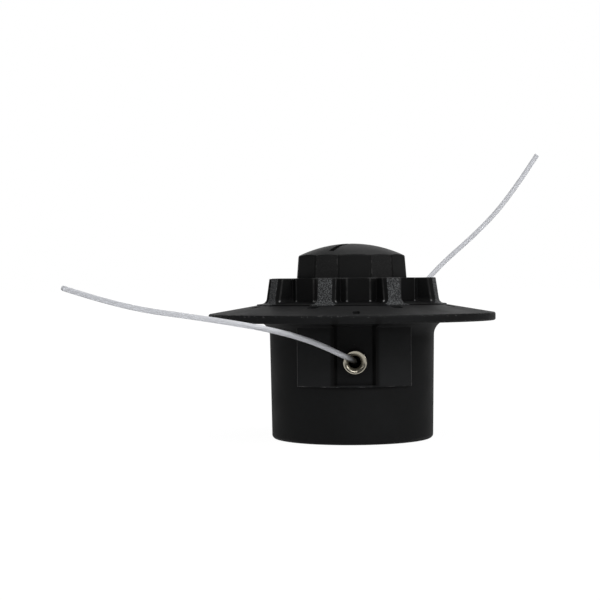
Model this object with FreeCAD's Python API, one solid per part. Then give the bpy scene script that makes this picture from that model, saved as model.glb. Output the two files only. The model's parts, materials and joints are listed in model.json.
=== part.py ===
import FreeCAD, Part
import math
import os

# Bump feed trimmer head, in millimetres. It stands on its gearbox end, with the bump knob up.
# The turning axis is Z, the foot is at Z = 0 and the front eyelet faces -Y.
# Azimuths are degrees about Z, counted from the front (-Y) towards +X.

V = FreeCAD.Vector
ORIGIN = V(0, 0, 0)
Z_AXIS = V(0, 0, 1)
X_AXIS = V(1, 0, 0)
FULL_TURN = 360.0
HALF_TURN = 180.0
QUARTER_TURN = 90.0
HEX_SIDES = 6

# Clearances
RUN_GAP = 0.3
SEAT_GAP = 0.1
FIT_GAP = 0.05
SINK = 0.5

# Nylon line
LINE_D = 2.4

# Housing cup and guard flange
BORE_R = 34.0
WALL = 3.4
WALL_DRAFT = 0.85
BODY_H = 53.1
FOOT_ROUND = 1.8
FLANGE_R = 65.0
RIM_H = 3.5
RIM_ROUND = 0.8
CONE_RISE = 3.75
FLANGE_FILLET = 6.5
FLOOR_T = 5.0
FOOT_RECESS_R = 24.0
FOOT_RECESS_H = 3.0
INNER_ROUND = 1.0

# Windows and line slots through the flange
WINDOW_COUNT = 8
WINDOW_R = 46.7
WINDOW_LENGTH = 4.2
WINDOW_WIDTH = 4.6
WINDOW_ROUND = 1.2
LINE_SLOT_INSET = 7.0
LINE_SLOT_LENGTH = 6.0
LINE_SLOT_WIDTH = 3.0

# Eyelet pads on the housing
PAD_PROUD = 1.4
PAD_HALF_ANGLE = 40.5
PAD_BOTTOM = 25.1
PAD_ROUND = 0.7
SCOOP_WALL = 2.2
SCOOP_WIDTH = 20.0
SCOOP_SLOPE = 2.4
SCOOP_LIP = 0.9

# Eyelets
EYELET_Z = 36.0
EYELET_D = 10.3
EYELET_THROAT_D = 5.4
EYELET_WALL = 0.7
EYELET_MOUTH_H = 2.8
EYELET_RIM_H = 1.1
EYELET_SEAT = 1.0
EYELET_FLARE = 2.0
EYELET_EDGE = 0.35

# Hub and drive arbor
HUB_R = 10.5
HUB_H = 44.0
HUB_ROUND = 0.6
ARBOR_FLATS = 15.0
ARBOR_HEX_H = 18.0
ARBOR_SPIGOT_R = 6.5
ARBOR_THREAD_MINOR_R = 4.33
ARBOR_CHAMFER = 0.67
RETAINER_T = 1.0
RETAINER_BORE_R = 5.5
RETAINER_TEETH = 6
RETAINER_NOTCH_R = 0.8

# Bump action
BUMP_TRAVEL = 6.0
LUG_COUNT = 6
LUG_HALF_ANGLE = 6.0
LUG_H = 3.0
LUG_WIDTH = 3.2
LUG_GAP = 0.5
LOWER_CATCH_ANGLE = 24.0
LOWER_RIB_DEPTH = 7.0

# Spool
SPOOL_SIDE_GAP = 1.5
SPOOL_FLANGE_T = 2.5
CHAMBER_H = 19.0
BARREL_WALL = 2.0
SPOOL_WEB_H = 6.0
SPOOL_COLLAR_H = 3.5
SPOOL_COLLAR_R = 17.5
SPOOL_HEX_FLATS = 26.0
SPOOL_HEX_H = 8.0
SPOOL_NOTCH_WIDTH = 3.0
SPOOL_NOTCH_DEPTH = 4.5
WINDING_DEPTH = 8.4
WINDING_TURNS = 7

# Spring and washers
SPRING_WIRE_D = 1.6
SPRING_HUB_GAP = 1.3
SPRING_BARREL_GAP = 1.0
SPRING_TURNS = 6.0
WASHER_T = 1.0

# Cover ring
COVER_BASE_T = 1.75
COVER_EDGE_T = 0.35
COVER_H = 12.0
COVER_WALL_R = 32.6
COVER_GAP_HALF_ANGLE = 9.0
COVER_WALL = 2.6
COVER_AZIMUTH = 26.1
COVER_ROUND = 0.4
DECK_T = 2.5
SKIRT_H = 11.0
SKIRT_T = 2.4
GRIP_COUNT = 8
GRIP_REACH = 6.0
GRIP_DRAFT = 1.8
GRIP_WIDTH = 6.2
GRIP_BEVEL_WIDTH = 1.4
GRIP_BEVEL_DEPTH = 1.9
GRIP_FLARE = 2.6
GRIP_SIDE_FLARE = 2.8
GRIP_TOE = 0.1
COVER_DOG_DEPTH = 3.3

# Twist lock between cover and housing
LOCK_COUNT = 4
LOCK_TURN = 15.0
LOCK_HALF_ANGLE = 6.0
LOCK_END_ANGLE = 0.8
LOCK_REACH = 2.0
LOCK_H = 3.0
LOCK_DROP = 4.2
LOCK_AZIMUTH = 12.0

# Bump knob
KNOB_FACET_PAIRS = 6
KNOB_WIDE_HALF_ANGLE = 16.5
KNOB_FOOT_R = 25.6
KNOB_SHOULDER_R = 24.1
KNOB_RISE = 15.7
KNOB_DOME_R = 55.0
KNOB_AZIMUTH = 1.5
KNOB_ROUND = 0.7
KNOB_WALL = 3.0
KNOB_FLANGE_R = 27.7
KNOB_FLANGE_T = 3.0
KNOB_HOLE_GAP = 0.4
KNOB_ROOF_T = 3.0
KNOB_TUBE_WALL = 2.4
KNOB_BORE_GAP = 1.5
SLOT_WIDTH = 2.6
SLOT_DEPTH = 3.7

# Sizes that follow from the values above
TOP_R = BORE_R + WALL
FOOT_R = TOP_R - WALL_DRAFT
PAD_R = TOP_R + PAD_PROUD
HOUSING_TOP = BODY_H + RIM_H + CONE_RISE
LINE_SLOT_R = FLANGE_R - LINE_SLOT_INSET
FLOOR_TOP = FOOT_RECESS_H + FLOOR_T
HUB_TOP = FLOOR_TOP + HUB_H
ARBOR_TOP = FLOOR_TOP + ARBOR_HEX_H
POCKET_R = ARBOR_FLATS / math.sqrt(3) + SEAT_GAP
SCOOP_Y = BORE_R + SCOOP_WALL
EYELET_BARREL_R = EYELET_THROAT_D / 2 + EYELET_WALL
EYELET_SEAT_R = EYELET_BARREL_R + EYELET_SEAT

COVER_BASE = HOUSING_TOP + SEAT_GAP
COVER_TOP = COVER_BASE + COVER_H
DECK_BOTTOM = COVER_TOP - DECK_T
SKIRT_R = BORE_R - RUN_GAP
SKIRT_BORE_R = SKIRT_R - SKIRT_T
SKIRT_BOTTOM = COVER_BASE - SKIRT_H
GRIP_STEP = FULL_TURN / GRIP_COUNT
GRIP_HALF_ANGLE = GRIP_STEP / 2 - COVER_GAP_HALF_ANGLE
COVER_CAVITY_R = COVER_WALL_R * math.cos(math.radians(GRIP_HALF_ANGLE)) - COVER_WALL
COVER_BASE_R = COVER_WALL_R + GRIP_REACH + GRIP_DRAFT + GRIP_FLARE + GRIP_TOE
GRIP_SIDE = GRIP_WIDTH / 2 + GRIP_BEVEL_WIDTH
GRIP_WALL_CORNER = COVER_WALL_R * math.sin(math.radians(GRIP_HALF_ANGLE))
GRIP_SIDE_ROOM = GRIP_WALL_CORNER - GRIP_SIDE - GRIP_TOE - COVER_ROUND / 2
GRIP_SIDE_ROUND = min(GRIP_SIDE_FLARE, GRIP_SIDE_ROOM)
LOCK_TOP = COVER_BASE - LOCK_DROP

SPOOL_TOP = SKIRT_BOTTOM - LUG_GAP
CHAMBER_TOP = SPOOL_TOP - SPOOL_FLANGE_T
CHAMBER_BOTTOM = CHAMBER_TOP - CHAMBER_H
SPOOL_BOTTOM = CHAMBER_BOTTOM - SPOOL_FLANGE_T
SPOOL_R = BORE_R - SPOOL_SIDE_GAP
SPOOL_LUG_R = SKIRT_BORE_R - LUG_GAP
SPOOL_BORE_R = HUB_R + RUN_GAP
SPRING_R = HUB_R + SPRING_HUB_GAP + SPRING_WIRE_D / 2
BARREL_BORE_R = SPRING_R + SPRING_WIRE_D / 2 + SPRING_BARREL_GAP
BARREL_R = BARREL_BORE_R + BARREL_WALL
WEB_BOTTOM = CHAMBER_TOP - SPOOL_WEB_H
COLLAR_TOP = SPOOL_TOP + SPOOL_COLLAR_H
WASHER_R = BARREL_BORE_R - RUN_GAP
RIB_TOP = SPOOL_BOTTOM - BUMP_TRAVEL - LUG_GAP
WINDING_R = BARREL_R + WINDING_DEPTH

KNOB_FLANGE_TOP = DECK_BOTTOM - RUN_GAP
KNOB_FLANGE_BOTTOM = KNOB_FLANGE_TOP - KNOB_FLANGE_T
KNOB_TOP = COVER_TOP + KNOB_RISE
KNOB_HOLE_R = KNOB_FOOT_R + KNOB_HOLE_GAP
KNOB_ROOF = KNOB_TOP - SLOT_DEPTH - KNOB_ROOF_T
KNOB_TUBE_R = SPOOL_HEX_FLATS / math.sqrt(3) + KNOB_TUBE_WALL
KNOB_BORE_R = HUB_R + KNOB_BORE_GAP

# Hand-chosen routes of the two line ends, from the winding out through the eyelet to the cut end
FRONT_ROUTE = [
    (-11.2, -24.4, 36.0),
    (-2.6, -28.2, 36.0),
    (0.4, -36.0, 36.0),
    (-1.5, -42.0, 37.4),
    (-8.7, -46.4, 41.0),
    (-18.8, -52.2, 45.8),
    (-34.9, -58.0, 50.9),
    (-64.8, -59.0, 56.1),
    (-99.7, -44.7, 60.7),
    (-127.3, -25.4, 69.0),
]
REAR_ROUTE = [
    (11.2, 24.4, 36.0),
    (2.6, 28.2, 36.0),
    (-0.4, 36.0, 36.0),
    (1.5, 42.5, 37.2),
    (6.8, 50.9, 41.1),
    (14.0, 60.3, 46.6),
    (24.1, 68.1, 55.1),
    (35.5, 73.4, 65.6),
    (47.6, 76.5, 79.2),
    (68.6, 77.7, 97.2),
    (83.6, 75.3, 114.3),
    (96.1, 70.9, 133.9),
]
ARC_SHARE = 0.45


def turned(shape, azimuth):
    """Copy of a shape, turned about the head's axis."""
    copy = shape.copy()
    copy.rotate(ORIGIN, Z_AXIS, azimuth)
    return copy


def around(shape, count, first=0.0):
    """Copies of a shape, evenly spaced about the head's axis."""
    step = FULL_TURN / count
    return [turned(shape, first + step * index) for index in range(count)]


def rounded_corner(before, here, after, radius):
    """Start, middle and end of the arc that rounds one corner of an outline."""
    back = (before - here).normalize()
    on = (after - here).normalize()
    half = back.getAngle(on) / 2
    bisector = (back + on).normalize()
    reach = radius / math.tan(half)
    middle = here + bisector * (radius / math.sin(half) - radius)
    return here + back * reach, middle, here + on * reach


def outline(corners):
    """Face in the XZ plane through corners (x, z, rounding radius)."""
    points = [V(x, 0, z) for x, z, _ in corners]
    trims = []
    for index, (_, _, radius) in enumerate(corners):
        here = points[index]
        if radius == 0:
            trims.append((here, here, here))
        else:
            after = points[(index + 1) % len(points)]
            trims.append(rounded_corner(points[index - 1], here, after, radius))
    edges = []
    for index, (start, middle, end) in enumerate(trims):
        if corners[index][2] > 0:
            edges.append(Part.Arc(start, middle, end).toShape())
        following = trims[(index + 1) % len(trims)][0]
        edges.append(Part.LineSegment(end, following).toShape())
    return Part.Face(Part.Wire(edges))


def revolved(corners):
    """Solid of revolution about Z from an outline of (radius, z, rounding radius)."""
    return outline(corners).revolve(ORIGIN, Z_AXIS, FULL_TURN)


def ring(inner, outer, bottom, top):
    """Plain tube about Z."""
    return revolved([(inner, bottom, 0), (outer, bottom, 0), (outer, top, 0), (inner, top, 0)])


def disc(radius, bottom, top):
    """Plain cylinder about Z."""
    return Part.makeCylinder(radius, top - bottom, V(0, 0, bottom))


def sector(inner, outer, bottom, top, half_angle, azimuth=0.0):
    """Piece of a tube about Z, centred on an azimuth."""
    face = outline([(inner, bottom, 0), (outer, bottom, 0), (outer, top, 0), (inner, top, 0)])
    wedge = face.revolve(ORIGIN, Z_AXIS, 2 * half_angle)
    return turned(wedge, azimuth - QUARTER_TURN - half_angle)


def polygon_prism(points, bottom, top):
    """Upright prism on (x, y) points."""
    corners = [V(x, y, bottom) for x, y in points]
    face = Part.Face(Part.makePolygon(corners + corners[:1]))
    return face.extrude(V(0, 0, top - bottom))


def regular_points(sides, radius, first=0.0):
    """Corners of a regular polygon, the first at an azimuth."""
    points = []
    for index in range(sides):
        angle = math.radians(first + FULL_TURN * index / sides)
        points.append((radius * math.sin(angle), -radius * math.cos(angle)))
    return points


def hexagon(flats, bottom, top):
    """Upright hexagonal bar."""
    return polygon_prism(regular_points(HEX_SIDES, flats / math.sqrt(3)), bottom, top)


def upright_edges(shape, radius):
    """Edges that run up and down further out than a radius."""
    found = []
    for edge in shape.Edges:
        ends = [vertex.Point for vertex in edge.Vertexes]
        if len(ends) < 2:
            continue
        run = ends[1] - ends[0]
        plan = math.hypot(run.x, run.y)
        if abs(run.z) > plan and math.hypot(ends[0].x, ends[0].y) > radius:
            found.append(edge)
    return found


def raised_edges(shape, radius, z):
    """Edges that stay further out than a radius and reach above a height."""
    found = []
    for edge in shape.Edges:
        ends = [vertex.Point for vertex in edge.Vertexes]
        outside = min(math.hypot(end.x, end.y) for end in ends) > radius
        if outside and edge.BoundBox.ZMax > z:
            found.append(edge)
    return found


def flange_window(length, width, radius):
    """Cutter for a round-cornered hole through the flange, its length along the radius."""
    depth = HOUSING_TOP - BODY_H + 2 * SINK
    block = Part.makeBox(width, length, depth, V(-width / 2, -radius - length / 2, BODY_H - SINK))
    return block.makeFillet(WINDOW_ROUND, upright_edges(block, 0))


def eyelet_pad():
    """Raised pad at the front with rounded edges, before its scoop is cut."""
    pad = sector(BORE_R + SINK, PAD_R, PAD_BOTTOM, BODY_H + SINK, PAD_HALF_ANGLE)
    edges = upright_edges(pad, TOP_R)
    for edge in pad.Edges:
        flat = abs(edge.BoundBox.ZMax - PAD_BOTTOM) < FIT_GAP
        if flat and edge.Length > PAD_R and edge.BoundBox.YMin < -PAD_R + FIT_GAP:
            edges.append(edge)
    return pad.makeFillet(PAD_ROUND, edges)


def scoop_cutter():
    """Trough down the middle of a pad: flat floor, sloping sides, open under the flange."""
    floor_half = SCOOP_WIDTH / 2 - SCOOP_SLOPE
    outer_y = PAD_R + SINK
    outer_half = floor_half + SCOOP_SLOPE * (outer_y - SCOOP_Y) / (PAD_R - SCOOP_Y)
    points = [
        (-floor_half, -SCOOP_Y),
        (floor_half, -SCOOP_Y),
        (outer_half, -outer_y),
        (-outer_half, -outer_y),
    ]
    return polygon_prism(points, PAD_BOTTOM + SCOOP_LIP, BODY_H)


def lock_grooves():
    """L-shaped tracks in the housing's mouth for the cover's lock lugs."""
    outer = SKIRT_R + LOCK_REACH + RUN_GAP
    inner = BORE_R - SINK
    bottom = LOCK_TOP - LOCK_H - RUN_GAP
    entry_half = LOCK_HALF_ANGLE + LOCK_END_ANGLE
    track_half = entry_half + LOCK_TURN / 2
    entry = sector(inner, outer, bottom, HOUSING_TOP + SINK, entry_half, LOCK_TURN)
    track = sector(inner, outer, bottom, LOCK_TOP + RUN_GAP, track_half, LOCK_TURN / 2)
    return around(entry.fuse(track), LOCK_COUNT, LOCK_AZIMUTH)


def make_housing():
    """Cup, guard flange, pads, hub and catch ribs as one moulding."""
    body = revolved([
        (ARBOR_SPIGOT_R + FIT_GAP, FOOT_RECESS_H, 0),
        (FOOT_RECESS_R, FOOT_RECESS_H, INNER_ROUND),
        (FOOT_RECESS_R, 0, INNER_ROUND),
        (FOOT_R, 0, FOOT_ROUND),
        (TOP_R, BODY_H, FLANGE_FILLET),
        (FLANGE_R, BODY_H, RIM_ROUND),
        (FLANGE_R, BODY_H + RIM_H, RIM_ROUND),
        (COVER_BASE_R, HOUSING_TOP, 0),
        (BORE_R, HOUSING_TOP, 0),
        (BORE_R, FLOOR_TOP, INNER_ROUND),
        (HUB_R, FLOOR_TOP, 0),
        (HUB_R, HUB_TOP, HUB_ROUND),
        (POCKET_R, HUB_TOP, 0),
        (POCKET_R, ARBOR_TOP, 0),
        (ARBOR_SPIGOT_R + FIT_GAP, ARBOR_TOP, 0),
    ])
    pad = eyelet_pad()
    rib = sector(BORE_R - LOWER_RIB_DEPTH, BORE_R + SINK, FLOOR_TOP - SINK, RIB_TOP, LUG_HALF_ANGLE)
    rib_azimuth = COVER_AZIMUTH + LOWER_CATCH_ANGLE
    body = body.fuse([pad, turned(pad, HALF_TURN)] + around(rib, LUG_COUNT, rib_azimuth))
    eyelet_hole = Part.makeCylinder(EYELET_BARREL_R + FIT_GAP, 2 * PAD_R, V(0, -PAD_R, EYELET_Z), V(0, 1, 0))
    line_slot = flange_window(LINE_SLOT_LENGTH, LINE_SLOT_WIDTH, LINE_SLOT_R)
    window = flange_window(WINDOW_LENGTH, WINDOW_WIDTH, WINDOW_R)
    cuts = [scoop_cutter(), turned(scoop_cutter(), HALF_TURN), eyelet_hole]
    cuts += [hexagon(ARBOR_FLATS + 2 * FIT_GAP, FLOOR_TOP, ARBOR_TOP)]
    cuts += around(window, WINDOW_COUNT, FULL_TURN / WINDOW_COUNT / 2)
    cuts += around(line_slot, 2)
    cuts += lock_grooves()
    return body.cut(cuts).removeSplitter()


def make_eyelet():
    """Trumpet eyelet in the front pad: flared mouth outside, short barrel through the wall."""
    barrel_end = -SCOOP_WALL - FIT_GAP
    throat = EYELET_THROAT_D / 2
    eyelet = revolved([
        (throat, barrel_end, 0),
        (throat, EYELET_MOUTH_H, EYELET_FLARE),
        (EYELET_D / 2, EYELET_MOUTH_H, EYELET_EDGE),
        (EYELET_D / 2, EYELET_MOUTH_H - EYELET_RIM_H, EYELET_EDGE),
        (EYELET_SEAT_R, 0, 0),
        (EYELET_BARREL_R, 0, 0),
        (EYELET_BARREL_R, barrel_end, 0),
    ])
    eyelet.rotate(ORIGIN, X_AXIS, QUARTER_TURN)
    eyelet.translate(V(0, -SCOOP_Y, EYELET_Z))
    return eyelet


def make_drive_arbor():
    """Steel insert: hexagon in the hub, round spigot through the floor, threaded bore."""
    hexagonal = hexagon(ARBOR_FLATS, FLOOR_TOP, ARBOR_TOP)
    spigot = disc(ARBOR_SPIGOT_R, FOOT_RECESS_H, FLOOR_TOP + SINK)
    bore = disc(ARBOR_THREAD_MINOR_R, FOOT_RECESS_H - SINK, ARBOR_TOP + SINK)
    mouth_r = ARBOR_THREAD_MINOR_R + ARBOR_CHAMFER
    mouth = Part.makeCone(mouth_r, ARBOR_THREAD_MINOR_R, ARBOR_CHAMFER, V(0, 0, FOOT_RECESS_H))
    return hexagonal.fuse(spigot).cut([bore, mouth]).removeSplitter()


def make_arbor_retainer():
    """Push-in ring above the arbor, notched round its rim so that it springs into the hub."""
    plain = ring(RETAINER_BORE_R, POCKET_R - FIT_GAP, ARBOR_TOP, ARBOR_TOP + RETAINER_T)
    notch = Part.makeCylinder(RETAINER_NOTCH_R, RETAINER_T, V(0, -POCKET_R, ARBOR_TOP))
    return plain.cut(around(notch, RETAINER_TEETH))


def make_spool():
    """Reel with a spring pocket below, a hexagon above for the knob and catch lugs on both flanges."""
    reel = revolved([
        (BARREL_BORE_R, SPOOL_BOTTOM, 0),
        (SPOOL_R, SPOOL_BOTTOM, 0),
        (SPOOL_R, CHAMBER_BOTTOM, 0),
        (BARREL_R, CHAMBER_BOTTOM, 0),
        (BARREL_R, CHAMBER_TOP, 0),
        (SPOOL_R, CHAMBER_TOP, 0),
        (SPOOL_R, SPOOL_TOP, 0),
        (SPOOL_COLLAR_R, SPOOL_TOP, 0),
        (SPOOL_COLLAR_R, COLLAR_TOP, 0),
        (SPOOL_BORE_R, COLLAR_TOP, 0),
        (SPOOL_BORE_R, WEB_BOTTOM, 0),
        (BARREL_BORE_R, WEB_BOTTOM, 0),
    ])
    key = hexagon(SPOOL_HEX_FLATS, COLLAR_TOP - SINK, COLLAR_TOP + SPOOL_HEX_H)
    key = key.cut(disc(SPOOL_BORE_R, COLLAR_TOP - 2 * SINK, COLLAR_TOP + SPOOL_HEX_H + SINK))
    inner = SPOOL_LUG_R - LUG_WIDTH
    upper = sector(inner, SPOOL_LUG_R, SPOOL_TOP - SINK, SPOOL_TOP + LUG_H, LUG_HALF_ANGLE)
    lower = sector(inner, SPOOL_LUG_R, SPOOL_BOTTOM - LUG_H, SPOOL_BOTTOM + SINK, LUG_HALF_ANGLE)
    mid_gap = COVER_AZIMUTH + FULL_TURN / LUG_COUNT / 2
    lugs = around(upper, LUG_COUNT, mid_gap) + around(lower, LUG_COUNT, mid_gap)
    notch_y = -SPOOL_R - SINK
    notch_h = SPOOL_FLANGE_T + 2 * SINK
    notch = Part.makeBox(
        SPOOL_NOTCH_WIDTH,
        SPOOL_NOTCH_DEPTH + SINK,
        notch_h,
        V(-SPOOL_NOTCH_WIDTH / 2, notch_y, CHAMBER_TOP - SINK),
    )
    return reel.fuse([key] + lugs).cut(around(notch, 2, COVER_AZIMUTH)).removeSplitter()


def make_line_winding():
    """Stored line as one ridged drum, a ridge for each turn across the chamber."""
    inner = BARREL_R + FIT_GAP
    bottom = CHAMBER_BOTTOM + FIT_GAP
    pitch = (CHAMBER_H - 2 * FIT_GAP) / WINDING_TURNS
    crest = WINDING_R
    valley = WINDING_R - LINE_D / 4
    top = bottom + WINDING_TURNS * pitch
    edges = [Part.LineSegment(V(valley, 0, top), V(inner, 0, top)).toShape()]
    edges.append(Part.LineSegment(V(inner, 0, top), V(inner, 0, bottom)).toShape())
    edges.append(Part.LineSegment(V(inner, 0, bottom), V(valley, 0, bottom)).toShape())
    for index in range(WINDING_TURNS):
        low = bottom + index * pitch
        ridge = Part.Arc(V(valley, 0, low), V(crest, 0, low + pitch / 2), V(valley, 0, low + pitch))
        edges.append(ridge.toShape())
    return Part.Face(Part.Wire(edges)).revolve(ORIGIN, Z_AXIS, FULL_TURN)


def make_spring_seat():
    """Washer on the housing floor under the spring."""
    return ring(HUB_R + FIT_GAP, WASHER_R, FLOOR_TOP, FLOOR_TOP + WASHER_T)


def make_thrust_washer():
    """Washer between the spring and the spool's web."""
    return ring(SPOOL_BORE_R, WASHER_R, WEB_BOTTOM - WASHER_T, WEB_BOTTOM)


def make_spool_spring():
    """Compression spring around the hub."""
    wire_r = SPRING_WIRE_D / 2
    bottom = FLOOR_TOP + WASHER_T + wire_r + FIT_GAP
    top = WEB_BOTTOM - WASHER_T - wire_r - FIT_GAP
    pitch = (top - bottom) / SPRING_TURNS
    helix = Part.makeHelix(pitch, top - bottom, SPRING_R)
    start = V(SPRING_R, 0, 0)
    along = V(0, 2 * math.pi * SPRING_R, pitch)
    section = Part.Wire(Part.makeCircle(wire_r, start, along))
    spring = Part.Wire(helix).makePipeShell([section], True, True)
    spring.translate(V(0, 0, bottom))
    return spring


def plan_points(radius, count, half_angle, first):
    """Corners of a polygon whose sides alternate in width, one wide side centred on an azimuth."""
    points = []
    for index in range(count):
        middle = first + FULL_TURN / count * index
        for azimuth in (middle - half_angle, middle + half_angle):
            angle = math.radians(azimuth)
            points.append((radius * math.sin(angle), -radius * math.cos(angle)))
    return points


def grip_slab(facing, reach, draft, flare):
    """Block behind one face of a grip rib: the face leans in towards the top and flares at its foot."""
    toe = reach + draft + flare + GRIP_TOE
    side = outline([
        (-COVER_WALL_R, COVER_BASE, 0),
        (toe, COVER_BASE, 0),
        (toe, COVER_BASE + COVER_EDGE_T, 0),
        (reach + draft, COVER_BASE + COVER_EDGE_T, flare),
        (reach, COVER_TOP, 0),
        (-COVER_WALL_R, COVER_TOP, 0),
    ])
    breadth = 2 * COVER_BASE_R
    slab = side.extrude(V(0, breadth, 0))
    slab.translate(V(0, -breadth / 2, 0))
    slab = turned(slab, facing - QUARTER_TURN)
    slab.translate(V(0, -COVER_WALL_R, 0))
    return slab


def cover_grip():
    """One grip rib at the front: drafted outer face, two bevels and two upright sides."""
    half = GRIP_WIDTH / 2
    bevel = math.atan2(GRIP_BEVEL_DEPTH, GRIP_BEVEL_WIDTH)
    bevel_reach = half * math.sin(bevel) + GRIP_REACH * math.cos(bevel)
    bevel_draft = GRIP_DRAFT * math.cos(bevel)
    grip = grip_slab(0, GRIP_REACH, GRIP_DRAFT, GRIP_FLARE)
    for hand in (-1, 1):
        bevel_slab = grip_slab(hand * math.degrees(bevel), bevel_reach, bevel_draft, GRIP_SIDE_ROUND)
        side_slab = grip_slab(hand * QUARTER_TURN, GRIP_SIDE, 0, GRIP_SIDE_ROUND)
        grip = grip.common(bevel_slab).common(side_slab)
    return grip


def make_cover():
    """Twist-lock ring: base, faceted wall with grips, deck around the knob and skirt in the housing."""
    base = revolved([
        (SKIRT_BORE_R, SKIRT_BOTTOM, 0),
        (SKIRT_R, SKIRT_BOTTOM, 0),
        (SKIRT_R, COVER_BASE, 0),
        (COVER_BASE_R, COVER_BASE, 0),
        (COVER_BASE_R, COVER_BASE + COVER_EDGE_T, 0),
        (SKIRT_BORE_R, COVER_BASE + COVER_BASE_T, 0),
    ])
    gap_azimuth = COVER_AZIMUTH + GRIP_STEP / 2
    plan = plan_points(COVER_WALL_R, GRIP_COUNT, COVER_GAP_HALF_ANGLE, gap_azimuth)
    wall = polygon_prism(plan, COVER_BASE, COVER_TOP)
    wall = wall.fuse(around(cover_grip(), GRIP_COUNT, COVER_AZIMUTH)).removeSplitter()
    wall = wall.makeFillet(COVER_ROUND, raised_edges(wall, 0, COVER_TOP - FIT_GAP))
    wall = wall.cut([
        disc(COVER_CAVITY_R, COVER_BASE - SINK, DECK_BOTTOM),
        disc(KNOB_HOLE_R, COVER_BASE - SINK, COVER_TOP + SINK),
    ])
    dog_bore = SKIRT_BORE_R - COVER_DOG_DEPTH
    dog = sector(dog_bore, SKIRT_BORE_R + SINK, SKIRT_BOTTOM, SKIRT_BOTTOM + SKIRT_H / 2, LUG_HALF_ANGLE)
    lock = sector(SKIRT_R - SINK, SKIRT_R + LOCK_REACH, LOCK_TOP - LOCK_H, LOCK_TOP, LOCK_HALF_ANGLE)
    lugs = around(dog, LUG_COUNT, COVER_AZIMUTH) + around(lock, LOCK_COUNT, LOCK_AZIMUTH)
    return base.fuse([wall] + lugs).removeSplitter()


def make_bump_knob():
    """Faceted dome with a coin slot, a flange that stays under the deck and a hexagon socket below."""
    loops = []
    for radius, z in ((KNOB_FOOT_R, KNOB_FLANGE_TOP - SINK), (KNOB_SHOULDER_R, KNOB_TOP)):
        plan = plan_points(radius, KNOB_FACET_PAIRS, KNOB_WIDE_HALF_ANGLE, KNOB_AZIMUTH)
        corners = [V(x, y, z) for x, y in plan]
        loops.append(Part.makePolygon(corners + corners[:1]))
    facets = Part.makeLoft(loops, True, True)
    ball = Part.makeSphere(KNOB_DOME_R, V(0, 0, KNOB_TOP - KNOB_DOME_R))
    dome = facets.common(ball)
    dome = dome.makeFillet(KNOB_ROUND, raised_edges(dome, KNOB_SHOULDER_R / 2, COVER_TOP))
    flange = disc(KNOB_FLANGE_R, KNOB_FLANGE_BOTTOM, KNOB_FLANGE_TOP)
    cavity_r = KNOB_SHOULDER_R * math.cos(math.radians(KNOB_WIDE_HALF_ANGLE)) - KNOB_WALL
    cavity = disc(cavity_r, KNOB_FLANGE_BOTTOM - SINK, KNOB_ROOF)
    shell = dome.fuse(flange).cut(cavity)
    tube = disc(KNOB_TUBE_R, COLLAR_TOP, KNOB_ROOF + SINK)
    socket = hexagon(SPOOL_HEX_FLATS + 2 * FIT_GAP, COLLAR_TOP - SINK, COLLAR_TOP + SPOOL_HEX_H + SEAT_GAP)
    tube = tube.cut([socket, disc(KNOB_BORE_R, COLLAR_TOP, KNOB_ROOF)])
    slot = Part.makeBox(
        SLOT_WIDTH,
        4 * KNOB_FOOT_R,
        SLOT_DEPTH + SINK,
        V(-SLOT_WIDTH / 2, -2 * KNOB_FOOT_R, KNOB_TOP - SLOT_DEPTH),
    )
    slot_azimuth = KNOB_AZIMUTH - FULL_TURN / KNOB_FACET_PAIRS / 2
    return shell.fuse(tube).cut(turned(slot, slot_azimuth)).removeSplitter()


def make_line(route, name):
    """Round line along straight runs joined by tangent arcs."""
    points = [V(*point) for point in route]
    edges = []
    radii = []
    reached = points[0]
    for before, here, after in zip(points, points[1:], points[2:]):
        half_turn = (here - before).getAngle(after - here) / 2
        shorter = min(before.distanceToPoint(here), here.distanceToPoint(after))
        radius = ARC_SHARE * shorter / math.tan(half_turn)
        start, middle, end = rounded_corner(before, here, after, radius)
        edges.append(Part.LineSegment(reached, start).toShape())
        edges.append(Part.Arc(start, middle, end).toShape())
        reached = end
        radii.append(round(radius, 1))
    edges.append(Part.LineSegment(reached, points[-1]).toShape())
    path = Part.Wire(edges)
    section = Part.Wire(Part.makeCircle(LINE_D / 2, points[0], points[1] - points[0]))
    line = path.makePipeShell([section], True, False)
    expected = math.pi * LINE_D ** 2 / 4 * path.Length
    print(name, "radii", radii)
    print(name, "length", round(path.Length, 1), "volume ratio", round(line.Volume / expected, 4))
    return line


def main():
    eyelet = make_eyelet()
    pieces = {
        "housing": make_housing(),
        "front_eyelet": eyelet,
        "rear_eyelet": turned(eyelet, HALF_TURN),
        "drive_arbor": make_drive_arbor(),
        "arbor_retainer": make_arbor_retainer(),
        "spring_seat": make_spring_seat(),
        "spool_spring": make_spool_spring(),
        "thrust_washer": make_thrust_washer(),
        "spool": make_spool(),
        "line_winding": make_line_winding(),
        "cover": make_cover(),
        "bump_knob": make_bump_knob(),
        "front_line_tail": make_line(FRONT_ROUTE, "front_line_tail"),
        "rear_line_tail": make_line(REAR_ROUTE, "rear_line_tail"),
    }
    os.makedirs("parts", exist_ok=True)
    for name, shape in pieces.items():
        shape.exportStep("parts/" + name + ".step")


main()
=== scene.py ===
import json
import math

import bpy
from mathutils import Matrix, Vector


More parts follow.
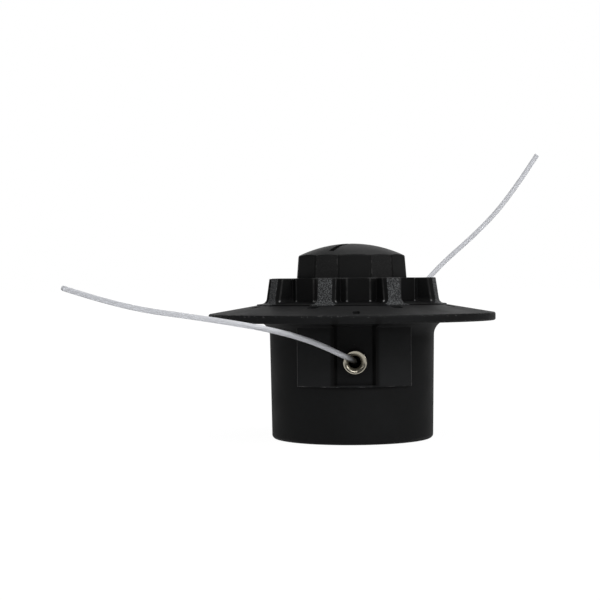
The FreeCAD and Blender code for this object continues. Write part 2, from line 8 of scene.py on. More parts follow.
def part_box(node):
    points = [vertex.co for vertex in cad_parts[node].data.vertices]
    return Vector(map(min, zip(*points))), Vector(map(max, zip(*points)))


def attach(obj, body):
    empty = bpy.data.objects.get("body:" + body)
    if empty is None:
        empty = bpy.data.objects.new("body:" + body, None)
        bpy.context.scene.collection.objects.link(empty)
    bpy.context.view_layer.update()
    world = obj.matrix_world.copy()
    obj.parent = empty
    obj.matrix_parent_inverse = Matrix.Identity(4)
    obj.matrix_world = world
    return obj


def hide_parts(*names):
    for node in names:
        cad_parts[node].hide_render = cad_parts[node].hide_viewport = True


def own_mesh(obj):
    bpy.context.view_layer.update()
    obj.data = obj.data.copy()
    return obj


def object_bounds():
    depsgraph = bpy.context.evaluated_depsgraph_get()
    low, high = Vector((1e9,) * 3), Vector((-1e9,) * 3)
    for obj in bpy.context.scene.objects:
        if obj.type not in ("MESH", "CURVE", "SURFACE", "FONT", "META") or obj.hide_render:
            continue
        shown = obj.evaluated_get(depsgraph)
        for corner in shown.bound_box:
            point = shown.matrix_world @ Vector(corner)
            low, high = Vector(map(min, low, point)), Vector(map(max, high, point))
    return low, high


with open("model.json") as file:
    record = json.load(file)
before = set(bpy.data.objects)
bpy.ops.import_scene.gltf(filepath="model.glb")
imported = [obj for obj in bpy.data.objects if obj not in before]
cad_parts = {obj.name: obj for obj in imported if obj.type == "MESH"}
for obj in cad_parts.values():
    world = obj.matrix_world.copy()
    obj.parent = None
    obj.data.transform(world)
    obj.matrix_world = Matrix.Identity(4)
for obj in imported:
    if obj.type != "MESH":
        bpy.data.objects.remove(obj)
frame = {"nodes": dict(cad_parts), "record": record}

# Looks of the bump feed trimmer head. Lengths are in metres, in the same frame as the solids.
# A named pair of values says where a fade begins and where it ends.

CAD_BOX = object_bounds()
NODES = frame["nodes"]
SCENE = bpy.context.scene
MM = 0.001


def grey(level, cool=0.0):
    """Near-neutral linear colour, a little cooler where asked."""
    return (level * (1 - cool), level, level * (1 + cool), 1.0)


# Camera, fitted to the photograph's 600 x 600 frame
FRAME_PX = 600.0
FOCAL_PX = 1500.0
SENSOR_MM = 36.0
CLIP_START = 10 * MM
CAMERA_DISTANCE = 683 * MM
CAMERA_HEIGHT = 68.6 * MM
CAMERA_AZIMUTH = math.radians(-1.9)
AXIS_PX = 351.5
HORIZON_PX = 287.0
CAMERA_ROLL = math.radians(0.5)

# Studio: strength of the world and the floor, for each kind of ray that meets them
WHITE = grey(1.0)
STUDIO_AMBIENT = 0.25
STUDIO_ROOM = 0.08
STUDIO_LEFT = 0.85
STUDIO_RIGHT = 1.5
BACKDROP_SIDES = (-0.4, 0.4)
BACKDROP_DEPTH = (0.72, 0.95)
FLOOR_SIZE = 40.0
FLOOR_GREY = grey(0.8)
FLOOR_GLOW = 0.94
FLOOR_SEEN = 1.04
FLOOR_MIRRORED = 0.6
SHADOW_REACH = (50 * MM, 350 * MM)

# Lamps: name, place, side and power in watts, all turned to one point on the head's axis
LAMP_TARGET = Vector((0, 0, CAD_BOX[1].z / 3))
LAMPS = [
    ("key_softbox", (0.15, -0.8, 0.75), 0.5, 3.6),
    ("left_softbox", (-0.65, -0.5, 0.45), 0.35, 1.0),
    ("right_softbox", (0.65, -0.5, 0.45), 0.35, 2.0),
    ("top_softbox", (0.15, 0.15, 0.9), 0.8, 3.6),
]

# Nylon line: its routes, as in the solids, and its milky finish
LINE_D = 2.4 * MM
FRONT_ROUTE = [
    (-0.0112, -0.0244, 0.0360),
    (-0.0026, -0.0282, 0.0360),
    (0.0004, -0.0360, 0.0360),
    (-0.0015, -0.0420, 0.0374),
    (-0.0087, -0.0464, 0.0410),
    (-0.0188, -0.0522, 0.0458),
    (-0.0349, -0.0580, 0.0509),
    (-0.0648, -0.0590, 0.0561),
    (-0.0997, -0.0447, 0.0607),
    (-0.1273, -0.0254, 0.0690),
]
REAR_ROUTE = [
    (0.0112, 0.0244, 0.0360),
    (0.0026, 0.0282, 0.0360),
    (-0.0004, 0.0360, 0.0360),
    (0.0015, 0.0425, 0.0372),
    (0.0068, 0.0509, 0.0411),
    (0.0140, 0.0603, 0.0466),
    (0.0241, 0.0681, 0.0551),
    (0.0355, 0.0734, 0.0656),
    (0.0476, 0.0765, 0.0792),
    (0.0686, 0.0777, 0.0972),
    (0.0836, 0.0753, 0.1143),
    (0.0961, 0.0709, 0.1339),
]
CLOUD_SIZE = 18 * MM
LINE_DULL = (0.74, 0.75, 0.79, 1)
LINE_CLEAR = (0.80, 0.81, 0.84, 1)
LINE_ROUGHNESS = (0.3, 0.36)
LINE_TRANSMISSION = 0.4
LINE_IOR = 1.5
LINE_WAVE_SIZE = 6 * MM
LINE_WAVE_DEPTH = 0.02 * MM

# The line is painted darker in the eyelet's throat, a painted shade, by its distance from the head's axis
THROAT_R = (41.5 * MM, 46.5 * MM)
THROAT_SHADE = grey(0.02)

# Moulded nylon: slow drift of tone, fine cavity grain and dust
DRIFT_SIZE = 16 * MM
DRIFT_RANGE = (0.3, 0.7)
DRIFT_SHARE = 0.55
FINE_SIZE = 0.35 * MM
FINE_HEIGHT = 0.02
TONE_RANGE = (0.35, 0.65)
TONE_DARK = 0.8
TONE_PALE = 1.25
DARK_COOL = 0.03
PALE_COOL = 0.05
DUST_SIZE = 0.8 * MM
DUST_RANGE = (0.77, 0.83)
DUST_COVER = 0.35
DUST_GREY = grey(0.05)
ROUGHNESS_DRIFT = 0.05
NYLON_BUMP = 1 * MM

# Cover: places of the grip ribs, their bevel edges and the wall's corners
GRIP_COUNT = 8
COVER_AZIMUTH = math.radians(26.1)
GRIP_TOP_R = 38.6 * MM
GRIP_SLOPE = 1.8 / 11.65
GRIP_EDGE_ACROSS = 4.5 * MM
GRIP_EDGE_DEPTH = 1.9 * MM
WALL_CORNER_ACROSS = 7.61 * MM
WALL_CORNER_R = 31.7 * MM
TOP_EDGE_R = 31.0 * MM

# Cover: rough grain of the grips, and edge lines that are partly wear and partly painted highlight, brightest
# at the foot where a painted glint sits
GRIP_FACE_DEPTH = (-0.35 * MM, -0.1 * MM)
GRIP_FACE_ACROSS = (4.6 * MM, 6.0 * MM)
GRIP_GRAIN_SIZE = 0.45 * MM
GRIP_GRAIN_RANGE = (0.44, 0.62)
GRIP_GRAIN_DARK = grey(0.017, DARK_COOL)
GRIP_GRAIN_PALE = grey(0.115, DARK_COOL)
GRIP_GRAIN_HEIGHT = 0.14
GRIP_ROUGHNESS = 0.6
EDGE_LINE = (0.25 * MM, 0.6 * MM)
TOP_EDGE_DROP = (0.3 * MM, 0.6 * MM)
EDGE_WEAR_SIZE = 2.5 * MM
EDGE_WEAR_LEAST = 0.4
EDGE_WEAR_AND_HIGHLIGHT_GREY = grey(0.032)
FOOT_GLINT_HEIGHT = (1.9 * MM, 2.5 * MM)
FOOT_GLINT_GREY = grey(0.28)

# Knob: six wide facets with narrow, grained ones between them, grooves painted dark as painted shade, and
# lines beside them that are partly wear and partly painted highlight
FACET_PAIRS = 6
KNOB_AZIMUTH = math.radians(1.5)
WIDE_HALF_ANGLE = math.radians(16.5)
KNOB_SHOULDER_Z = 83.0 * MM
KNOB_SIDE_TOP = (KNOB_SHOULDER_Z - 1.2 * MM, KNOB_SHOULDER_Z)
NARROW_FACET = (-0.1 * MM, 0.2 * MM)
KNOB_GRAIN_SIZE = 0.5 * MM
KNOB_GRAIN_RANGE = (0.4, 0.7)
KNOB_GRAIN_DARK = grey(0.005)
KNOB_GRAIN_PALE = grey(0.013)
GROOVE_WIDTH = (0.0, 0.6 * MM)
GROOVE_HEIGHT = -0.3
GROOVE_SHADE_BLACK = grey(0.001)
WORN_HIGHLIGHT_PAST = 0.6 * MM
WORN_HIGHLIGHT_LINE = (0.1 * MM, 0.4 * MM)
FLECK_SIZE = 1.2 * MM
FLECK_RANGE = (0.5, 0.62)
WORN_AND_HIGHLIGHT_GREY = grey(0.03)

# Housing: two pads with faces painted paler as painted light, and edges that are partly wear and partly
# painted highlight
PAD_COUNT = 2
PAD_HALF_ANGLE = math.radians(40.5)
PAD_R = 38.8 * MM
PAD_BOTTOM = 25.1 * MM
BODY_TOP = 53.1 * MM
PAD_FACE_R = (PAD_R - 0.8 * MM, PAD_R - 0.3 * MM)
PAD_FACE_SIDE = (0.3 * MM, 0.6 * MM)
PAD_FOOT = (PAD_BOTTOM - 0.4 * MM, PAD_BOTTOM)
PAD_HEAD = (BODY_TOP - 7 * MM, BODY_TOP - 2 * MM)
PAD_LIT_GREY = grey(0.012, PALE_COOL)
PAD_EDGE_R = (PAD_R - 1.6 * MM, PAD_R - 1.0 * MM)
PAD_SIDE_LINE = (0.3 * MM, 0.7 * MM)
PAD_BOTTOM_LINE = (0.2 * MM, 0.5 * MM)
PAD_BOTTOM_END = (-0.2 * MM, 0.2 * MM)
PAD_WEAR_SIZE = 4 * MM
PAD_WEAR_RANGE = (0.5, 0.68)
PAD_EDGE_WEAR_AND_HIGHLIGHT_GREY = grey(0.1)

# Housing: scuffs along the flange's rim
RIM_R = 65.0 * MM
RIM_TOP = 56.6 * MM
SCUFF_R = RIM_R - 0.5 * MM
SCUFF_Z = RIM_TOP - 0.3 * MM
SCUFF_REACH = (0.4 * MM, 1.0 * MM)
SCUFF_SIZE = 1.1 * MM
SCUFF_RANGE = (0.57, 0.68)
SCUFF_GREY = grey(0.08)

# Housing: painted shade on the sides of the scoop in each pad
SCOOP_HALF = 10.0 * MM
SCOOP_FLOOR_HALF = 7.6 * MM
SCOOP_INNER = (SCOOP_FLOOR_HALF - 0.2 * MM, SCOOP_FLOOR_HALF + 0.3 * MM)
SCOOP_OUTER = (SCOOP_HALF - 0.3 * MM, SCOOP_HALF + 1.2 * MM)
SCOOP_BACK = (PAD_R - 4 * MM, PAD_R - 3 * MM)
SCOOP_FOOT = (PAD_BOTTOM, PAD_BOTTOM + 1 * MM)
SCOOP_HEAD = (BODY_TOP, RIM_TOP)
SCOOP_SHADE_BLACK = grey(0.0015)

# Eyelets: nickel plate, dull and painted darker in the flare around the bore's axis, the darker tint a
# painted reflection of the dark bore
EYELET_Z = 36.0 * MM
BORE_REFLECTION_R = (2.7 * MM, 4.6 * MM)
BORE_REFLECTION_TINT = (0.38, 0.345, 0.26, 1)
BORE_ROUGHNESS = 0.6
NICKEL_DARK = (0.48, 0.445, 0.36, 1)
NICKEL_PALE = (0.64, 0.60, 0.51, 1)
NICKEL_ROUGHNESS = (0.1, 0.18)
NICKEL_DRIFT_SIZE = 2.5 * MM
NICKEL_FINE_SIZE = 0.2 * MM
NICKEL_BUMP = 0.003 * MM

# Plain steel of the inner pieces
STEEL_DRIFT_SIZE = 3 * MM
STEEL_DARK = 0.8
STEEL_ROUGHNESS_DRIFT = 0.08
STEEL_FINE_SIZE = 0.3 * MM
STEEL_BUMP = 0.01 * MM


def turned(first, second, angle):
    """Two directions at right angles, turned together in their plane, the first away from the second."""
    return (
        first * math.cos(angle) - second * math.sin(angle),
        second * math.cos(angle) + first * math.sin(angle),
    )


def camera_turn():
    """Rotation of the camera: towards the head's axis, then the photograph's small yaw, pitch and roll."""
    ahead = Vector((-math.sin(CAMERA_AZIMUTH), math.cos(CAMERA_AZIMUTH), 0))
    right = Vector((math.cos(CAMERA_AZIMUTH), math.sin(CAMERA_AZIMUTH), 0))
    up = Vector((0, 0, 1))
    yaw = math.atan((AXIS_PX - FRAME_PX / 2) / FOCAL_PX)
    pitch = math.atan((FRAME_PX / 2 - HORIZON_PX) / FOCAL_PX)
    ahead, right = turned(ahead, right, yaw)
    ahead, up = turned(ahead, up, pitch)
    right, up = turned(right, up, CAMERA_ROLL)
    return Matrix((right, up, -ahead)).transposed()


def make_camera():
    """Camera at the photograph's viewpoint."""
    data = bpy.data.cameras.new("camera")
    data.sensor_width = SENSOR_MM
    data.lens = SENSOR_MM * FOCAL_PX / FRAME_PX
    data.clip_start = CLIP_START
    camera = bpy.data.objects.new("camera", data)
    SCENE.collection.objects.link(camera)
    place = Vector((math.sin(CAMERA_AZIMUTH), -math.cos(CAMERA_AZIMUTH), 0)) * CAMERA_DISTANCE
    place.z = CAMERA_HEIGHT
    camera.matrix_world = Matrix.Translation(place) @ camera_turn().to_4x4()
    SCENE.camera = camera


class Nodes:
    """Short hand for building one node tree."""

    def __init__(self, tree):
        self.tree = tree
        self.tree.nodes.clear()

    def add(self, kind, **values):
        """New node with its properties, and its inputs by name or index."""
        node = self.tree.nodes.new(kind)
        inputs = values.pop("inputs", {})
        for name, value in values.items():
            setattr(node, name, value)
        for name, value in inputs.items():
            self.put(node.inputs[name], value)
        return node

    def put(self, socket, value):
        """Links a socket to another, or sets its own value."""
        if isinstance(value, bpy.types.NodeSocket):
            self.tree.links.new(value, socket)
        else:
            socket.default_value = value

    def math(self, operation, *values):
        """Output of one operation on up to three values."""
        node = self.add("ShaderNodeMath", operation=operation)
        for socket, value in zip(node.inputs, values):
            self.put(socket, value)
        return node.outputs[0]

    def minus(self, first, second):
        """Difference of two values."""
        return self.math("SUBTRACT", first, second)

    def product(self, first, *others):
        """Product of two or more values, such as the shares of several masks."""
        result = first
        for other in others:
            result = self.math("MULTIPLY", result, other)
        return result

    def gap(self, first, second):
        """Distance between two values."""
        return self.math("ABSOLUTE", self.minus(first, second))

    def ramp(self, value, low, high, low_out=0.0, high_out=1.0):
        """Output of a smooth map of one range to another."""
        node = self.add("ShaderNodeMapRange", interpolation_type="SMOOTHSTEP")
        for name, setting in (
            ("Value", value),
            ("From Min", low),
            ("From Max", high),
            ("To Min", low_out),
            ("To Max", high_out),
        ):
            self.put(node.inputs[name], setting)
        return node.outputs["Result"]

    def near(self, distance, full, none):
        """1 within one distance, fading to 0 at another."""
        return self.ramp(distance, full, none, 1.0, 0.0)

    def blend(self, share, first, second):
        """Colour between two colours."""
        node = self.add("ShaderNodeMix", data_type="RGBA")
        for socket, value in zip((node.inputs[0], node.inputs[6], node.inputs[7]), (share, first, second)):
            self.put(socket, value)
        return node.outputs[2]

    def noise(self, place, size, detail=2.0, roughness=0.5):
        """Value of a noise whose grains are about one size, in metres."""
        node = self.add("ShaderNodeTexNoise")
        for name, setting in (
            ("Vector", place),
            ("Scale", 1 / size),
            ("Detail", detail),
            ("Roughness", roughness),
        ):
            self.put(node.inputs[name], setting)
        return node.outputs["Fac"]

    def bump(self, height, depth):
        """Normal from a height, in metres of depth."""
        node = self.add("ShaderNodeBump", inputs={"Strength": 1.0, "Distance": depth, "Height": height})
        return node.outputs["Normal"]

    def hypot(self, first, second):
        """Length of two sides at right angles."""
        squares = [self.product(side, side) for side in (first, second)]
        return self.math("SQRT", self.math("ADD", *squares))

    def turn(self, azimuth, first, count):
        """Angle from the nearest of some evenly spaced azimuths."""
        half_step = math.pi / count
        return self.math("WRAP", self.minus(azimuth, first), half_step, -half_step)

    def folded(self, radius, azimuth, first, count):
        """Distances across and out from the nearest of some evenly spaced azimuths."""
        turn = self.turn(azimuth, first, count)
        across = self.math("ABSOLUTE", self.product(radius, self.math("SINE", turn)))
        return across, self.product(radius, self.math("COSINE", turn))

    def split(self, vector):
        """The three parts of a vector."""
        return self.add("ShaderNodeSeparateXYZ", inputs={0: vector}).outputs

    def polar(self, place):
        """Radius, azimuth from the front towards +X, and height of a place about the head's axis."""
        x, y, z = self.split(place)
        return self.hypot(x, y), self.math("ARCTAN2", x, self.product(y, -1.0)), z


def new_material(name):
    """Empty node material, its short hand, its shader and the object's own coordinates."""
    material = bpy.data.materials.new(name)
    material.use_nodes = True
    tree = Nodes(material.node_tree)
    shader = tree.add("ShaderNodeBsdfPrincipled")
    output = tree.add("ShaderNodeOutputMaterial")
    tree.put(output.inputs["Surface"], shader.outputs["BSDF"])
    place = tree.add("ShaderNodeTexCoord").outputs["Object"]
    return material, tree, shader, place


def black_nylon(name, level, roughness, specular, marks=None):
    """Moulded black nylon: drift of tone, fine grain and a trace of dust, then the piece's own marks."""
    material, tree, shader, place = new_material(name)
    drift = tree.noise(place, DRIFT_SIZE, detail=3.0)
    fine = tree.noise(place, FINE_SIZE, detail=3.0, roughness=0.6)
    tone = tree.math("ADD", tree.product(drift, DRIFT_SHARE), tree.product(fine, 1 - DRIFT_SHARE))
    dark = grey(level * TONE_DARK, DARK_COOL)
    pale = grey(level * TONE_PALE, PALE_COOL)
    colour = tree.blend(tree.ramp(tone, *TONE_RANGE), dark, pale)
    dust = tree.ramp(tree.noise(place, DUST_SIZE, detail=1.0), *DUST_RANGE, 0.0, DUST_COVER)
    colour = tree.blend(dust, colour, DUST_GREY)
    height = tree.product(fine, FINE_HEIGHT)
    rough = tree.ramp(drift, *DRIFT_RANGE, roughness - ROUGHNESS_DRIFT, roughness + ROUGHNESS_DRIFT)
    if marks is not None:
        colour, height, rough = marks(tree, place, colour, height, rough)
    tree.put(shader.inputs["Base Color"], colour)
    tree.put(shader.inputs["Roughness"], rough)
    shader.inputs["Specular IOR Level"].default_value = specular
    tree.put(shader.inputs["Normal"], tree.bump(height, NYLON_BUMP))
    return material


def cover_marks(tree, place, colour, height, rough):
    """Coarse spark-eroded grain on the grips' outer faces, and pale lines on bevels, corners and the top edge
    that are partly wear and partly painted highlight, with a painted glint at the foot.
    """
    radius, azimuth, z = tree.polar(place)
    across, out = tree.folded(radius, azimuth, COVER_AZIMUTH, GRIP_COUNT)
    drop = tree.minus(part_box("cover")[1].z, z)
    proud = tree.minus(out, tree.math("MULTIPLY_ADD", drop, GRIP_SLOPE, GRIP_TOP_R))

    textured = tree.product(tree.ramp(proud, *GRIP_FACE_DEPTH), tree.near(across, *GRIP_FACE_ACROSS))
    grain = tree.noise(place, GRIP_GRAIN_SIZE, roughness=0.6)
    glint = tree.ramp(grain, *GRIP_GRAIN_RANGE)
    colour = tree.blend(textured, colour, tree.blend(glint, GRIP_GRAIN_DARK, GRIP_GRAIN_PALE))
    height = tree.math("MULTIPLY_ADD", tree.product(grain, textured), GRIP_GRAIN_HEIGHT, height)
    rough = tree.ramp(textured, 0.0, 1.0, rough, GRIP_ROUGHNESS)

    bevel_edge = tree.hypot(tree.minus(across, GRIP_EDGE_ACROSS), tree.math("ADD", proud, GRIP_EDGE_DEPTH))
    wall_edge = tree.hypot(tree.minus(across, WALL_CORNER_ACROSS), tree.minus(out, WALL_CORNER_R))
    edge = tree.near(tree.math("MINIMUM", bevel_edge, wall_edge), *EDGE_LINE)
    top_edge = tree.product(tree.near(drop, *TOP_EDGE_DROP), tree.ramp(out, TOP_EDGE_R, WALL_CORNER_R))
    edge = tree.math("MAXIMUM", edge, top_edge)
    wear = tree.ramp(tree.noise(place, EDGE_WEAR_SIZE), *DRIFT_RANGE, EDGE_WEAR_LEAST, 1.0)
    foot = tree.near(tree.minus(z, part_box("housing")[1].z), *FOOT_GLINT_HEIGHT)
    # Edge lines: partly wear, partly painted highlight. Near the foot they turn into a painted glint.
    colour = tree.blend(tree.product(edge, wear), colour, tree.blend(foot, EDGE_WEAR_AND_HIGHLIGHT_GREY, FOOT_GLINT_GREY))
    return colour, height, rough


def knob_marks(tree, place, colour, height, rough):
    """Narrow facets a shade paler with a light grain, grooves at the facet edges painted dark as painted
    shade, and lines beside them that are partly wear and partly painted highlight.
    """
    radius, azimuth, z = tree.polar(place)
    turn = tree.turn(azimuth, KNOB_AZIMUTH, FACET_PAIRS)
    past = tree.product(tree.minus(tree.math("ABSOLUTE", turn), WIDE_HALF_ANGLE), radius)
    side = tree.near(z, *KNOB_SIDE_TOP)

    narrow = tree.product(tree.ramp(past, *NARROW_FACET), side)
    grain = tree.ramp(tree.noise(place, KNOB_GRAIN_SIZE, roughness=0.6), *KNOB_GRAIN_RANGE)
    colour = tree.blend(narrow, colour, tree.blend(grain, KNOB_GRAIN_DARK, KNOB_GRAIN_PALE))

    groove = tree.product(tree.near(tree.math("ABSOLUTE", past), *GROOVE_WIDTH), side)
    height = tree.math("MULTIPLY_ADD", groove, GROOVE_HEIGHT, height)
    # Painted shade: the groove is painted near black.
    colour = tree.blend(groove, colour, GROOVE_SHADE_BLACK)

    # Lines beside the grooves: partly wear, partly painted highlight.
    beside = tree.near(tree.gap(past, WORN_HIGHLIGHT_PAST), *WORN_HIGHLIGHT_LINE)
    fleck = tree.ramp(tree.noise(place, FLECK_SIZE), *FLECK_RANGE)
    colour = tree.blend(tree.product(beside, fleck, side), colour, WORN_AND_HIGHLIGHT_GREY)
    return colour, height, rough


def housing_marks(tree, place, colour, height, rough):
    """Pads painted paler as painted light, pad edges that are partly wear and partly painted highlight,
    painted shade on the scoop sides and a few pale scuffs along the flange's rim.
    """
    radius, azimuth, z = tree.polar(place)
    across, out = tree.folded(radius, azimuth, 0.0, PAD_COUNT)
    turn = tree.math("ABSOLUTE", tree.turn(azimuth, 0.0, PAD_COUNT))
    beside = tree.product(tree.minus(turn, PAD_HALF_ANGLE), radius)
    pad_height = tree.product(tree.ramp(z, *PAD_FOOT), tree.near(z, *PAD_HEAD))

    # Painted light: the pad faces are painted paler.
    lit_pad_face = tree.product(tree.ramp(radius, *PAD_FACE_R), tree.near(beside, *PAD_FACE_SIDE), pad_height)
    colour = tree.blend(lit_pad_face, colour, PAD_LIT_GREY)

    # Painted shade: the scoop sides are painted near black.
    scoop_side = tree.product(
        tree.ramp(across, *SCOOP_INNER),
        tree.near(across, *SCOOP_OUTER),
        tree.ramp(out, *SCOOP_BACK),
        tree.ramp(z, *SCOOP_FOOT),
        tree.near(z, *SCOOP_HEAD),
    )
    colour = tree.blend(scoop_side, colour, SCOOP_SHADE_BLACK)

    # Pad edge lines: partly wear, partly painted highlight.
    side_edge = tree.near(tree.math("ABSOLUTE", beside), *PAD_SIDE_LINE)
    bottom_edge = tree.near(tree.gap(z, PAD_BOTTOM), *PAD_BOTTOM_LINE)
    wear = tree.ramp(tree.noise(place, PAD_WEAR_SIZE), *PAD_WEAR_RANGE)
    bottom_edge = tree.product(bottom_edge, tree.near(beside, *PAD_BOTTOM_END), wear)
    edge = tree.math("MAXIMUM", side_edge, bottom_edge)
    edge = tree.product(edge, tree.ramp(radius, *PAD_EDGE_R), pad_height)
    colour = tree.blend(edge, colour, PAD_EDGE_WEAR_AND_HIGHLIGHT_GREY)

    from_rim = tree.hypot(tree.minus(radius, SCUFF_R), tree.minus(z, SCUFF_Z))
    scuff = tree.ramp(tree.noise(place, SCUFF_SIZE, detail=3.0, roughness=0.65), *SCUFF_RANGE)
    colour = tree.blend(tree.product(scuff, tree.near(from_rim, *SCUFF_REACH)), colour, SCUFF_GREY)
    return colour, height, rough


def nickel():
    """Bright nickel plate, warm in tone and uneven as a pressed eyelet is, dull towards the bore and painted
    darker there, a painted reflection of the dark bore.
    """
    material, tree, shader, place = new_material("nickel_plate")
    drift = tree.noise(place, NICKEL_DRIFT_SIZE, detail=3.0)
    plate = tree.blend(drift, NICKEL_DARK, NICKEL_PALE)
    x, _, z = tree.split(place)
    # The darker tint towards the bore is a painted reflection of the dark bore, and the plate is rougher
    # there.
    bore_reflection = tree.near(tree.hypot(x, tree.minus(z, EYELET_Z)), *BORE_REFLECTION_R)
    polish = tree.ramp(drift, *DRIFT_RANGE, *NICKEL_ROUGHNESS)
    tree.put(shader.inputs["Base Color"], tree.blend(bore_reflection, plate, BORE_REFLECTION_TINT))
    shader.inputs["Metallic"].default_value = 1.0
    tree.put(shader.inputs["Roughness"], tree.ramp(bore_reflection, 0.0, 1.0, polish, BORE_ROUGHNESS))
    tree.put(shader.inputs["Normal"], tree.bump(tree.noise(place, NICKEL_FINE_SIZE), NICKEL_BUMP))
    return material


def steel(name, light, roughness):
    """Plain machined or drawn steel."""
    material, tree, shader, place = new_material(name)
    drift = tree.noise(place, STEEL_DRIFT_SIZE, detail=4.0)
    dull = roughness + STEEL_ROUGHNESS_DRIFT
    polished = roughness - STEEL_ROUGHNESS_DRIFT
    tree.put(shader.inputs["Base Color"], tree.blend(drift, grey(light * STEEL_DARK), grey(light)))
    shader.inputs["Metallic"].default_value = 1.0
    tree.put(shader.inputs["Roughness"], tree.ramp(drift, *DRIFT_RANGE, polished, dull))
    tree.put(shader.inputs["Normal"], tree.bump(tree.noise(place, STEEL_FINE_SIZE), STEEL_BUMP))
    return material


def nylon_line():
    """Milky extruded nylon that lets some light through."""
    material, tree, shader, place = new_material("nylon_line")
    cloud = tree.noise(place, CLOUD_SIZE)
    colour = tree.blend(cloud, LINE_DULL, LINE_CLEAR)
    radius, _, _ = tree.polar(place)
    # Painted shade: the line is darker inside the eyelet's throat.
    shade = tree.near(radius, *THROAT_R)
    wave = tree.noise(place, LINE_WAVE_SIZE, detail=0.0)
    tree.put(shader.inputs["Base Color"], tree.blend(shade, colour, THROAT_SHADE))
    tree.put(shader.inputs["Roughness"], tree.ramp(cloud, *DRIFT_RANGE, *LINE_ROUGHNESS))
    shader.inputs["Transmission Weight"].default_value = LINE_TRANSMISSION
    shader.inputs["IOR"].default_value = LINE_IOR
    tree.put(shader.inputs["Normal"], tree.bump(wave, LINE_WAVE_DEPTH))
    return material


def paint(piece, material):
    """Gives a piece one material."""
    piece.data.materials.clear()
    piece.data.materials.append(material)


def paint_nodes():
    """Finish of every solid, by its slot."""
    for part in frame["record"]["subparts"]:
        paint(NODES[part["node"]], MATERIALS[part["material_slot"]])


def make_line(name, route, node):
    """One free end of line as a smooth curve that follows the route's control points."""
    curve = bpy.data.curves.new(name, "CURVE")
    curve.dimensions = "3D"
    curve.bevel_depth = LINE_D / 2
    curve.bevel_resolution = 6
    curve.resolution_u = 12
    curve.use_fill_caps = True
    spline = curve.splines.new("NURBS")
    spline.points.add(len(route) - 1)
    for point, place in zip(spline.points, route):
        point.co = (*place, 1.0)
    spline.order_u = 3
    spline.use_endpoint_u = True
    line = bpy.data.objects.new(name, curve)
    SCENE.collection.objects.link(line)
    paint(line, MATERIALS["nylon_line"])
    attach(line, "housing")
    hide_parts(node)


def make_spring():
    """The spool spring as its own mesh, attached to the housing."""
    spring = bpy.data.objects.new("coil_spring", NODES["spool_spring"].data.copy())
    SCENE.collection.objects.link(spring)
    paint(spring, MATERIALS["spring_steel"])
    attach(spring, "housing")
    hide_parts("spool_spring")
    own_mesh(spring)


def area_light(name, place, size, watts):
    """Soft square lamp that faces the lamps' common target."""
    data = bpy.data.lights.new(name, "AREA")
    data.size = size
    data.energy = watts
    lamp = bpy.data.objects.new(name, data)
    SCENE.collection.objects.link(lamp)
    lamp.location = place
    lamp.rotation_euler = (LAMP_TARGET - Vector(place)).to_track_quat("-Z", "Y").to_euler()


def make_world():
    """White backdrop to the eye and through clear things, a studio with a dark room's sides to mirrors."""
    world = bpy.data.worlds.new("studio")
    world.use_nodes = True
    SCENE.world = world
    tree = Nodes(world.node_tree)
    path = tree.add("ShaderNodeLightPath").outputs
    aside, depth, _ = tree.split(tree.add("ShaderNodeTexCoord").outputs["Generated"])
    backdrop = tree.ramp(aside, *BACKDROP_SIDES, STUDIO_LEFT, STUDIO_RIGHT)
    mirrored = tree.ramp(depth, *BACKDROP_DEPTH, STUDIO_ROOM, backdrop)
    strength = tree.ramp(path["Is Glossy Ray"], 0, 1, STUDIO_AMBIENT, mirrored)
    direct = tree.math("MAXIMUM", path["Is Camera Ray"], path["Is Transmission Ray"])
    strength = tree.math("MAXIMUM", strength, direct)
    back = tree.add("ShaderNodeBackground", inputs={"Color": WHITE, "Strength": strength})
    output = tree.add("ShaderNodeOutputWorld")
    tree.put(output.inputs["Surface"], back.outputs["Background"])


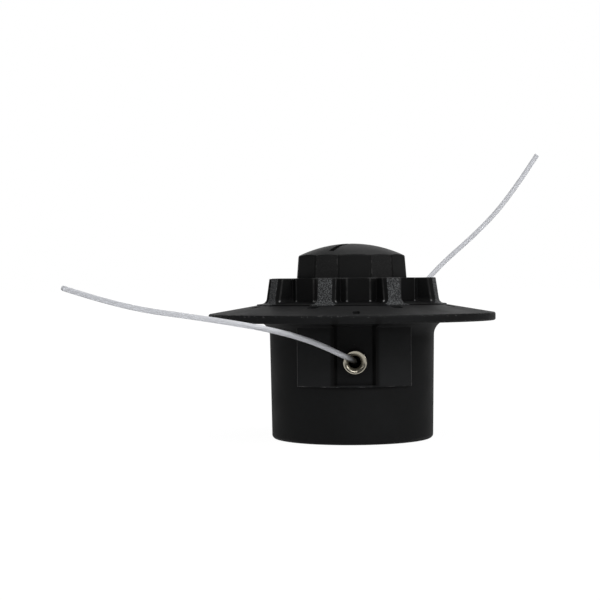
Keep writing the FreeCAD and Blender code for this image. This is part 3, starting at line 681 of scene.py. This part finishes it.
def make_floor():
    """Pale floor with a soft contact shadow that fades into the white backdrop."""
    bpy.ops.mesh.primitive_plane_add(size=FLOOR_SIZE)
    floor = bpy.context.object
    floor.name = "floor"
    material = bpy.data.materials.new("floor_white")
    material.use_nodes = True
    tree = Nodes(material.node_tree)
    radius, _, _ = tree.polar(tree.add("ShaderNodeTexCoord").outputs["Object"])
    path = tree.add("ShaderNodeLightPath").outputs
    seen = tree.math("MAXIMUM", path["Is Camera Ray"], path["Is Transmission Ray"])
    seen = tree.math("MAXIMUM", seen, path["Is Glossy Ray"])
    strength = tree.ramp(path["Is Glossy Ray"], 0, 1, FLOOR_SEEN, FLOOR_MIRRORED)
    white = tree.ramp(radius, *SHADOW_REACH, FLOOR_GLOW, 1.0)
    matte = tree.add("ShaderNodeBsdfDiffuse", inputs={"Color": FLOOR_GREY})
    glow = tree.add("ShaderNodeEmission", inputs={"Color": WHITE, "Strength": strength})
    mix = tree.add("ShaderNodeMixShader")
    tree.put(mix.inputs[0], tree.product(seen, white))
    tree.put(mix.inputs[1], matte.outputs["BSDF"])
    tree.put(mix.inputs[2], glow.outputs["Emission"])
    output = tree.add("ShaderNodeOutputMaterial")
    tree.put(output.inputs["Surface"], mix.outputs["Shader"])
    paint(floor, material)


MATERIALS = {
    "housing_plastic": black_nylon("housing_nylon", 0.006, roughness=0.6, specular=0.14, marks=housing_marks),
    "cover_plastic": black_nylon("cover_nylon", 0.003, roughness=0.55, specular=0.12, marks=cover_marks),
    "knob_plastic": black_nylon("knob_nylon", 0.003, roughness=0.5, specular=0.17, marks=knob_marks),
    "spool_plastic": black_nylon("spool_nylon", 0.009, roughness=0.5, specular=0.2),
    "eyelet_nickel": nickel(),
    "arbor_steel": steel("arbor_steel", light=0.5, roughness=0.3),
    "washer_steel": steel("washer_steel", light=0.55, roughness=0.35),
    "spring_steel": steel("spring_steel", light=0.35, roughness=0.35),
    "nylon_line": nylon_line(),
}

make_camera()
make_world()
make_floor()
for lamp_facts in LAMPS:
    area_light(*lamp_facts)
paint_nodes()
make_line("front_line", FRONT_ROUTE, "front_line_tail")
make_line("rear_line", REAR_ROUTE, "rear_line_tail")
make_spring()
SCENE.view_settings.view_transform = "Standard"
